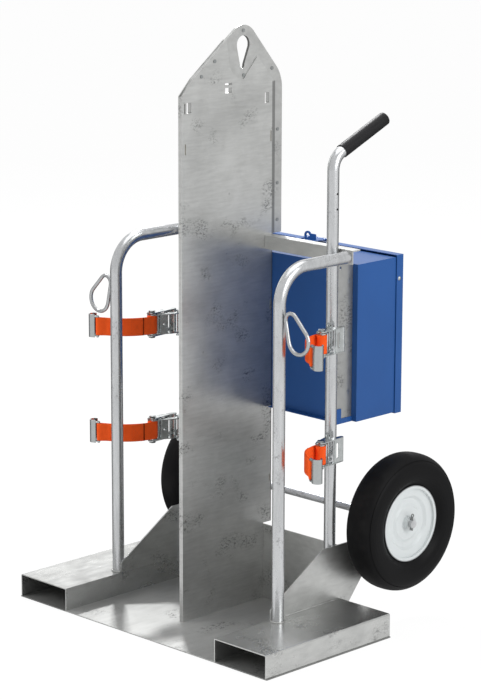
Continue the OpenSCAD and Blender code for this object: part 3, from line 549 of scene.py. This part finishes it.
def web_route(w):
    """The strip's middle line in the spool's frame: turns, curved run, loop round the bar and sewn tail."""
    loop = w.bar + BAR_CLEARANCE + w.thick / 2
    spots = []
    for k in range(int(w.turns * TURN_STEPS) + 1):
        a = 2 * math.pi * (k / TURN_STEPS - w.turns) - math.pi / 2
        r = roll_core(w) + web_pitch(w) * k / TURN_STEPS
        spots.append(Vector((r * math.cos(a), r * math.sin(a))))
    spots += [web_spot(w, w.reach * k / RUN_STEPS) for k in range(1, RUN_STEPS + 1)]
    bar = web_spot(w, w.reach, loop)
    for k in range(1, LOOP_STEPS):
        a = w.bend + math.pi / 2 - math.pi * k / LOOP_STEPS
        spots.append(bar + loop * Vector((math.cos(a), math.sin(a))))
    for k in range(TAIL_STEPS + 1):
        far = w.reach - (w.reach - w.tail) * k / TAIL_STEPS
        u = min(1.0, (w.reach - far) / TAIL_EASE)
        beside = 2 * loop - (2 * loop - web_pitch(w)) * (1 - math.cos(math.pi * u)) / 2
        spots.append(web_spot(w, far, beside))
    return spots


def strap_matrix(w, tag):
    """From the spool's frame to the trolley's frame."""
    lo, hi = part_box("spool_" + tag)
    centre = Vector(((lo[0] + hi[0]) / 2, (lo[1] + hi[1]) / 2, (lo[2] + hi[2]) / 2))
    turn = Matrix.Rotation(w.yaw - math.pi / 2 + w.turn, 4, "Z")
    flip = Matrix.Scale(-1, 4, Vector((1, 0, 0))) if tag[0] == "l" else Matrix.Identity(4)
    seat = Vector((abs(centre.x), centre.y, centre.z))
    return flip @ Matrix.Translation(seat) @ turn


def band_mesh(w, tag):
    """The webbing as one closed band with soft edges, and its UV in metres along and across."""
    route = web_route(w)
    place = strap_matrix(w, tag)
    half, t = w.width / 2, w.thick / 2
    section = []
    for k in range(BAND_STEPS + 1):
        v = -1 + 2 * k / BAND_STEPS
        section.append((v * (half - EDGE_ROUND), t * (1.0 - EDGE_THIN * abs(v) ** EDGE_POWER)))
    ring = section + [(half, 0.0)] + [(x, -n) for x, n in reversed(section)] + [(-half, 0.0)]
    size = len(ring)
    points, uv, faces = [], [], []
    walked = 0.0
    for k, here in enumerate(route):
        way = (route[min(k + 1, len(route) - 1)] - route[max(k - 1, 0)]).normalized()
        out = Vector((-way.y, way.x))
        walked += (here - route[k - 1]).length if k else 0.0
        for across, lift in ring:
            spot = here + out * lift
            points.append(place @ Vector((spot.x, spot.y, across)))
            uv.append((walked, across))
    for k in range(len(route) - 1):
        for j in range(size):
            n = (j + 1) % size
            faces.append((k * size + j, k * size + n, (k + 1) * size + n, (k + 1) * size + j))
    faces.append(tuple(range(size - 1, -1, -1)))
    faces.append(tuple((len(route) - 1) * size + j for j in range(size)))
    if tag[0] == "r":
        faces = [tuple(reversed(cell)) for cell in faces]
    return points, faces, uv


def stitch_mesh(w, tag):
    """Rows of sewing on the tail: a box with a cross near its end, and two rows by the hook's bar."""
    place = strap_matrix(w, tag)
    top = web_pitch(w) + w.thick / 2 + SEAM_RISE
    z = w.width / 2 - SEAM_INSET
    near = w.tail + SEAM_INSET
    off = near + SEAM_BOX
    bar = w.reach - BAR_ROW
    lines = [((near, -z), (near, z)), ((off, -z), (off, z)), ((near, -z), (off, -z)), ((near, z), (off, z)),
             ((near, -z), (off, z)), ((near, z), (off, -z)),
             ((bar, -z), (bar, z)), ((bar - ROW_GAP, -z), (bar - ROW_GAP, z))]
    parts = []
    for (x0, z0), (x1, z1) in lines:
        length = math.hypot(x1 - x0, z1 - z0)
        count = max(3, int(length / STITCH_STEP))
        for k in range(count):
            a, b = (k + STITCH_START) / count, (k + STITCH_STOP) / count
            spots = []
            for u in (a, (a * 3 + b) / 4, (a + b) / 2, (a + 3 * b) / 4, b):
                lift = STITCH_LIFT * math.sin(math.pi * (u - a) / (b - a))
                flat = web_spot(w, x0 + (x1 - x0) * u, top + lift)
                spots.append(place @ Vector((flat.x, flat.y, z0 + (z1 - z0) * u)))
            way = spots[-1] - spots[0]
            parts.append(tube_rings(spots, STITCH_RADII, STITCH_SIDES, False, way.orthogonal()))
    return join_parts(parts)


# Settings


class TROLLEY_finishes(bpy.types.PropertyGroup):
    """Colours of the trolley's finishes."""
    zinc: FloatVectorProperty(name="Zinc sheet", description="Hot-dip zinc on plates", subtype="COLOR",
                              default=(0.5, 0.505, 0.495), min=0, max=1)
    tube: FloatVectorProperty(name="Zinc tube", description="Zinc on posts and rods", subtype="COLOR",
                              default=(0.56, 0.57, 0.58), min=0, max=1)
    plated: FloatVectorProperty(name="Plated steel", description="Ratchets, hooks and fasteners",
                                subtype="COLOR", default=(0.45, 0.47, 0.47), min=0, max=1)
    paint: FloatVectorProperty(name="Toolbox paint", description="Blue paint", subtype="COLOR",
                               default=(0.021, 0.092, 0.305), min=0, max=1)
    rubber: FloatVectorProperty(name="Rubber", description="Tyres and grips", subtype="COLOR",
                                default=(0.0045, 0.0045, 0.005), min=0, max=1)
    rim: FloatVectorProperty(name="Rim paint", description="Pale paint on the rims", subtype="COLOR",
                             default=(0.68, 0.715, 0.72), min=0, max=1)
    webbing: FloatVectorProperty(name="Webbing", description="Orange webbing", subtype="COLOR",
                                 default=(0.95, 0.115, 0.02), min=0, max=1)
    board: FloatVectorProperty(name="Fire board", description="Board inside the barrier", subtype="COLOR",
                               default=(0.62, 0.59, 0.5), min=0, max=1)


class TROLLEY_webbing(bpy.types.PropertyGroup):
    """Sizes of the webbing on each ratchet."""
    width: FloatProperty(name="Width", description="Width of the webbing", default=0.051, unit="LENGTH")
    thick: FloatProperty(name="Thickness", description="Thickness of the webbing", default=0.0015,
                         unit="LENGTH")
    turn_gap: FloatProperty(name="Turn gap", description="Clearance between turns", default=0.0006,
                            unit="LENGTH")
    turns: FloatProperty(name="Turns", description="Turns on the spool", default=2.5)
    shaft: FloatProperty(name="Shaft", description="Radius of the spool's shaft", default=0.008,
                         unit="LENGTH")
    bar: FloatProperty(name="Bar", description="Radius of the hook's bar", default=0.003, unit="LENGTH")
    reach: FloatProperty(name="Reach", description="Webbing from spool to hook bar", default=0.170,
                         unit="LENGTH")
    tail: FloatProperty(name="Tail", description="Where the sewn tail ends, from the spool", default=0.038,
                        unit="LENGTH")
    yaw: FloatProperty(name="Yaw", description="Ratchet's angle to the outside", default=math.radians(28.5),
                       unit="ROTATION")
    turn: FloatProperty(name="Turn", description="Webbing's turn at the spool", default=math.radians(-24.5),
                        unit="ROTATION")
    bend: FloatProperty(name="Bend", description="Webbing's turn along its run", default=math.radians(58),
                        unit="ROTATION")
    bend_radius: FloatProperty(name="Bend radius", description="Radius of that turn", default=0.130,
                               unit="LENGTH")


class TROLLEY_studio(bpy.types.PropertyGroup):
    """Camera, floor and light."""
    azimuth: FloatProperty(name="Azimuth", description="Camera's turn to the right of the front",
                           default=math.radians(44.843), unit="ROTATION")
    elevation: FloatProperty(name="Elevation", description="How far the camera looks down",
                             default=math.radians(12.876), unit="ROTATION")
    roll: FloatProperty(name="Roll", description="Camera's lean to the side", default=math.radians(0.147),
                        unit="ROTATION")
    eye: FloatVectorProperty(name="Camera place", description="Where the camera stands",
                             subtype="TRANSLATION", default=(4.8954, -4.7719, 2.3180))
    lens: FloatProperty(name="Lens", description="Focal length in millimetres", default=133.64)
    floor: FloatVectorProperty(name="Floor", description="Floor colour", subtype="COLOR",
                               default=(0.86, 0.86, 0.86), min=0, max=1)
    ambient: FloatProperty(name="Ambient", description="Light from all round", default=0.44)
    sky: FloatProperty(name="Sky", description="How bright metal sees the air round the trolley",
                       default=0.8)
    whiteness: FloatProperty(name="Whiteness",
                             description="Share of plain white in the floor, over its shadow",
                             default=0.94, min=0, max=1, subtype="FACTOR")
    glow: FloatProperty(name="Glow", description="Strength of that white", default=1.02)
    dim: FloatProperty(name="Dim floor", description="How metal sees the floor behind the trolley",
                       default=0.06)


class TROLLEY_settings(bpy.types.PropertyGroup):
    """All that a user would change."""
    finishes: PointerProperty(type=TROLLEY_finishes)
    webbing: PointerProperty(type=TROLLEY_webbing)
    studio: PointerProperty(type=TROLLEY_studio)


# Operators


class TROLLEY_OT_barrier(bpy.types.Operator):
    """Zinc on the fire barrier's skins and lift plate, board inside, plated rivets."""
    bl_idname = "trolley.barrier"
    bl_label = "Dress fire barrier"

    def execute(self, context):
        c = context.scene.trolley.finishes
        # The skins carry painted shade beside the back flange; the lift plate carries it there and on the
        # eye's inner wall.
        skin = zinc_coat("barrier_zinc", toned(c.zinc, 1.04), (40.0, 18.0, 150.0), rough=0.31, stain=0.85,
                         dark=seam_painted_shade)
        plate = zinc_coat("lift_plate_zinc", toned(c.zinc, 0.96), (30.0, 40.0, 60.0), rough=0.34,
                          dark=eye_painted_shade)
        dress(skin, "skin_right", "skin_left")
        dress(plate, "lift_plate")
        dress(mineral_board("fire_board", c.board), "core_board")
        dress(plated_steel("rivet_steel", toned(c.plated, 0.7), rough=0.34), "barrier_rivets")
        return {"FINISHED"}


class TROLLEY_OT_base(bpy.types.Operator):
    """Zinc on the base plate, fork pockets, side plates and back plate."""
    bl_idname = "trolley.base"
    bl_label = "Dress base"

    def execute(self, context):
        c = context.scene.trolley.finishes
        # The deck carries painted shade inside the fork pockets.
        deck = zinc_coat("deck_zinc", toned(c.zinc, 0.72), (60.0, 14.0, 60.0), rough=0.42, stain=0.8,
                         metal=0.4, dark=pocket_painted_shade)
        pocket = zinc_coat("pocket_zinc", c.zinc, (50.0, 14.0, 50.0), rough=0.24, stain=0.75, metal=0.86)
        side = zinc_coat("side_plate_zinc", toned(c.zinc, 1.06), (30.0, 20.0, 90.0), rough=0.33, stain=0.8)
        dress(deck, "base_plate")
        dress(pocket, "pocket_right", "pocket_left")
        dress(side, "side_plate_right", "side_plate_left", "back_plate")
        return {"FINISHED"}


class TROLLEY_OT_posts(bpy.types.Operator):
    """Zinc on the posts, rod loops, rails and standoff plates, rubber on the grips."""
    bl_idname = "trolley.posts"
    bl_label = "Dress posts and rails"

    def execute(self, context):
        c = context.scene.trolley.finishes
        tube = tube_zinc("post_zinc", c.tube)
        rod = tube_zinc("rod_zinc", toned(c.tube, 0.8))
        rail = zinc_coat("rail_zinc", toned(c.zinc, 1.05), (14.0, 60.0, 60.0), rough=0.35, stain=0.7)
        stand = zinc_coat("standoff_zinc", toned(c.zinc, 0.78), (40.0, 30.0, 30.0), rough=0.36, stain=0.7)
        rubber = grip_rubber("grip_rubber", toned(c.rubber, 2.0))
        for s in SIDES:
            dress(tube, "front_post_" + s, "back_post_" + s)
            dress(rod, "rod_loop_" + s)
            dress(rail, "rail_" + s)
            dress(stand, "standoff_" + s)
            dress(rubber, "grip_" + s)
        return {"FINISHED"}


class TROLLEY_OT_toolbox(bpy.types.Operator):
    """Blue paint on the toolbox, its lid and its hasp, plated pins and bolts."""
    bl_idname = "trolley.toolbox"
    bl_label = "Dress toolbox"

    def execute(self, context):
        c = context.scene.trolley.finishes
        paint = box_paint("toolbox_paint", c.paint)
        dress(paint, "box_body", "box_lid", "hasp_eye", "hasp_flap")
        dress(plated_steel("bolt_steel", c.plated, rough=0.3), "lid_pin", "lid_rivets", "box_bolts")
        return {"FINISHED"}


class TROLLEY_OT_wheels(bpy.types.Operator):
    """Rubber tyres, pale rims, zinc on the axle, plated bushes, washers and cotter pins."""
    bl_idname = "trolley.wheels"
    bl_label = "Dress wheels"

    def execute(self, context):
        c = context.scene.trolley.finishes
        lo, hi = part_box("axle")
        axle = ((lo[1] + hi[1]) / 2, (lo[2] + hi[2]) / 2)
        low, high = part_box("rim_right")
        lip = (high[2] - low[2]) / 2
        rubber = tyre_rubber("tyre_rubber", c.rubber, axle)
        rim = rim_paint("rim_paint", c.rim, axle, lip)
        for s in SIDES:
            dress(rubber, "tyre_" + s)
            dress(rim, "rim_" + s)
            dress(plated_steel("bush_steel_" + s, toned(c.plated, 0.8), rough=0.35), "bush_" + s)
        dress(zinc_coat("axle_zinc", c.tube, (8.0, 60.0, 60.0), rough=0.42, metal=0.45), "axle")
        dress(plated_steel("washer_steel", toned(c.plated, 1.5), rough=0.42), "axle_spacers")
        dress(plated_steel("cotter_steel", toned(c.plated, 0.5), rough=0.35), "cotter_pins")
        return {"FINISHED"}


class TROLLEY_OT_ratchets(bpy.types.Operator):
    """Plated steel on ratchet frames, levers, spools, hooks and lugs."""
    bl_idname = "trolley.ratchets"
    bl_label = "Dress ratchets"

    def execute(self, context):
        c = context.scene.trolley.finishes
        steel = plated_steel("ratchet_steel", toned(c.plated, 1.2), rough=0.2)
        bright = plated_steel("hook_steel", toned(c.plated, 0.95), rough=0.25, worn=0.06)
        dark = plated_steel("spool_steel", toned(c.plated, 0.6), rough=0.3)
        for t in STRAPS:
            dress(steel, "frame_" + t, "lever_" + t)
            dress(dark, "spool_" + t)
            dress(bright, "hook_" + t)
        dress(steel, "strap_lugs")
        return {"FINISHED"}


class TROLLEY_OT_webbing(bpy.types.Operator):
    """Woven webbing with its turns, loop and sewn tail on each ratchet."""
    bl_idname = "trolley.webbing"
    bl_label = "Make webbing"

    def execute(self, context):
        settings = context.scene.trolley
        w = settings.webbing
        route = web_route(w)
        length = sum((b - a).length for a, b in zip(route, route[1:]))
        weave = woven_web("orange_weave", settings.finishes.webbing, w.width / 2, length)
        thread = sewing_thread("orange_thread", toned(settings.finishes.webbing, 0.8))
        for t in STRAPS:
            points, faces, uv = band_mesh(w, t)
            band = new_piece("webbing_" + t, points, faces, weave, "ratchet_" + t, uv)
            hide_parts("web_" + t)
            points, faces = stitch_mesh(w, t)
            new_piece("stitches_" + t, points, faces, thread, "ratchet_" + t)
        return {"FINISHED"}


class TROLLEY_OT_welds(bpy.types.Operator):
    """Weld beads round the posts' feet and where the side plates meet the fork pockets."""
    bl_idname = "trolley.welds"
    bl_label = "Make welds"

    def execute(self, context):
        c = context.scene.trolley.finishes
        metal = plated_steel("weld_zinc", toned(c.zinc, 0.95), rough=0.4)
        for s in SIDES:
            parts = []
            for post in ("front_post_", "back_post_"):
                lo, hi = (Vector(v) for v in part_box(post + s))
                r = (hi.x - lo.x) / 2
                foot = Vector(((lo.x + hi.x) / 2, lo.y + r, lo.z + FOOT_RISE))
                parts.append(bead(circle_path(foot, r + FOOT_GAP), *POST_BEAD, closed=True))
            lo, hi = (Vector(v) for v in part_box("side_plate_" + s))
            outer = hi.x if s == "right" else lo.x
            _, back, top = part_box("pocket_" + s)[1]
            edge = [Vector((outer, y, top)) for y in (lo.y + EDGE_START, back - EDGE_STOP)]
            corner = [Vector((outer, lo.y - CORNER_GAP, top + rise)) for rise in CORNER_RISES]
            parts.append(bead(edge, *EDGE_BEAD, closed=False))
            parts.append(bead(corner, *CORNER_BEAD, closed=False))
            points, faces = join_parts(parts)
            new_piece("weld_base_" + s, points, faces, metal, "frame")
        return {"FINISHED"}


class TROLLEY_OT_stage(bpy.types.Operator):
    """White studio: pale floor, soft lamps and the camera."""
    bl_idname = "trolley.stage"
    bl_label = "Set the stage"

    def execute(self, context):
        scene = context.scene
        s = scene.trolley.studio
        scene.view_settings.view_transform = "Standard"
        self.floor(s)
        self.world(scene, s)
        for row in LAMPS:
            self.lamp(*row)
        self.camera(scene, s)
        return {"FINISHED"}

    def floor(self, s):
        """A pale floor that keeps the shadow; metal sees it dim behind the trolley."""
        mesh = bpy.data.meshes.new("studio_floor")
        corners = [(-1, -1), (1, -1), (1, 1), (-1, 1)]
        points = [(x * FLOOR_REACH, y * FLOOR_REACH, -FLOOR_DROP) for x, y in corners]
        mesh.from_pydata(points, [], [(0, 1, 2, 3)])
        f = Finish("studio_floor", specular_ior_level=0.0, roughness=1.0, base_color=rgba(s.floor))
        x, y, _ = f.axes(f.place())
        ahead = y * math.cos(s.azimuth) - x * math.sin(s.azimuth)
        start, stop, middle = -0.05, 0.6, 0.01
        behind = f.span(ahead / (x * x + y * y + middle) ** 0.5, start, stop)
        white, dim = (f.node("ShaderNodeEmission", None, {"Color": WHITE, "Strength": level})
                      for level in (s.glow, s.dim))
        glow = f.node("ShaderNodeMixShader", None, {0: behind * f.ray("Is Glossy Ray"), 1: white, 2: dim})
        share = f.span(f.white_rays(), 0.0, 1.0, 0.0, s.whiteness)
        blend = f.node("ShaderNodeMixShader", None, {0: share, 1: Val(f, f.shader.outputs["BSDF"]), 2: glow})
        f.feed(f.end.inputs["Surface"], blend)
        mesh.materials.append(f.material)
        floor = bpy.data.objects.new("studio_floor", mesh)
        bpy.context.scene.collection.objects.link(floor)

    def world(self, scene, s):
        """White for the camera, a little dimmer for metal, and soft light from all round."""
        scene.world = bpy.data.worlds.new("white_studio")
        scene.world.use_nodes = True
        t = Nodes(scene.world.node_tree)
        level = t.span(t.white_rays(), 0.0, 1.0, s.ambient, s.sky) + t.ray("Is Camera Ray") * (1.0 - s.sky)
        sky = t.node("ShaderNodeBackground", None, {"Color": WHITE, "Strength": level})
        t.node("ShaderNodeOutputWorld", None, {"Surface": sky})

    def lamp(self, name, spot, power, size, mirrored):
        """A square lamp that faces the trolley; metal doesn't mirror it where mirrored is false."""
        light = bpy.data.lights.new(name, "AREA")
        light.energy = power
        light.size = size
        lamp = bpy.data.objects.new(name, light)
        bpy.context.scene.collection.objects.link(lamp)
        lamp.visible_glossy = mirrored
        turn = (LAMP_AIM - Vector(spot)).to_track_quat("-Z", "Y").to_matrix()
        lamp.matrix_world = Matrix.Translation(Vector(spot)) @ turn.to_4x4()

    def camera(self, scene, s):
        """The camera at the photograph's place and angle."""
        eye = bpy.data.cameras.new("photo_camera")
        eye.sensor_fit = "AUTO"
        eye.sensor_width = 36.0
        eye.lens = s.lens
        eye.clip_end = 60.0
        stand = bpy.data.objects.new("photo_camera", eye)
        scene.collection.objects.link(stand)
        a, e = s.azimuth, s.elevation
        right = Vector((math.cos(a), math.sin(a), 0))
        ahead = Vector((-math.sin(a) * math.cos(e), math.cos(a) * math.cos(e), -math.sin(e)))
        level = Matrix((right, right.cross(ahead), -ahead)).transposed()
        turn = level @ Matrix.Rotation(s.roll, 3, "Z")
        stand.matrix_world = Matrix.Translation(Vector(s.eye)) @ turn.to_4x4()
        scene.camera = stand


class TROLLEY_PT_panel(bpy.types.Panel):
    """The trolley's settings and operators in the sidebar."""
    bl_label = "Trolley"
    bl_idname = "TROLLEY_PT_panel"
    bl_space_type = "VIEW_3D"
    bl_region_type = "UI"
    bl_category = "Trolley"

    def draw(self, context):
        settings = context.scene.trolley
        for group in (settings.finishes, settings.webbing, settings.studio):
            box = self.layout.box()
            for key in group.__annotations__:
                box.prop(group, key)
        for kind in OPERATORS:
            self.layout.operator(kind.bl_idname)


OPERATORS = (TROLLEY_OT_barrier, TROLLEY_OT_base, TROLLEY_OT_posts, TROLLEY_OT_toolbox, TROLLEY_OT_wheels,
             TROLLEY_OT_ratchets, TROLLEY_OT_webbing, TROLLEY_OT_welds, TROLLEY_OT_stage)
CLASSES = (TROLLEY_finishes, TROLLEY_webbing, TROLLEY_studio, TROLLEY_settings, *OPERATORS, TROLLEY_PT_panel)


def register():
    for kind in CLASSES:
        bpy.utils.register_class(kind)
    bpy.types.Scene.trolley = PointerProperty(type=TROLLEY_settings)


def unregister():
    del bpy.types.Scene.trolley
    for kind in reversed(CLASSES):
        bpy.utils.unregister_class(kind)


def main():
    register()
    for kind in OPERATORS:
        group, name = kind.bl_idname.split(".")
        getattr(getattr(bpy.ops, group), name)()


if __name__ == "__main__":
    main()
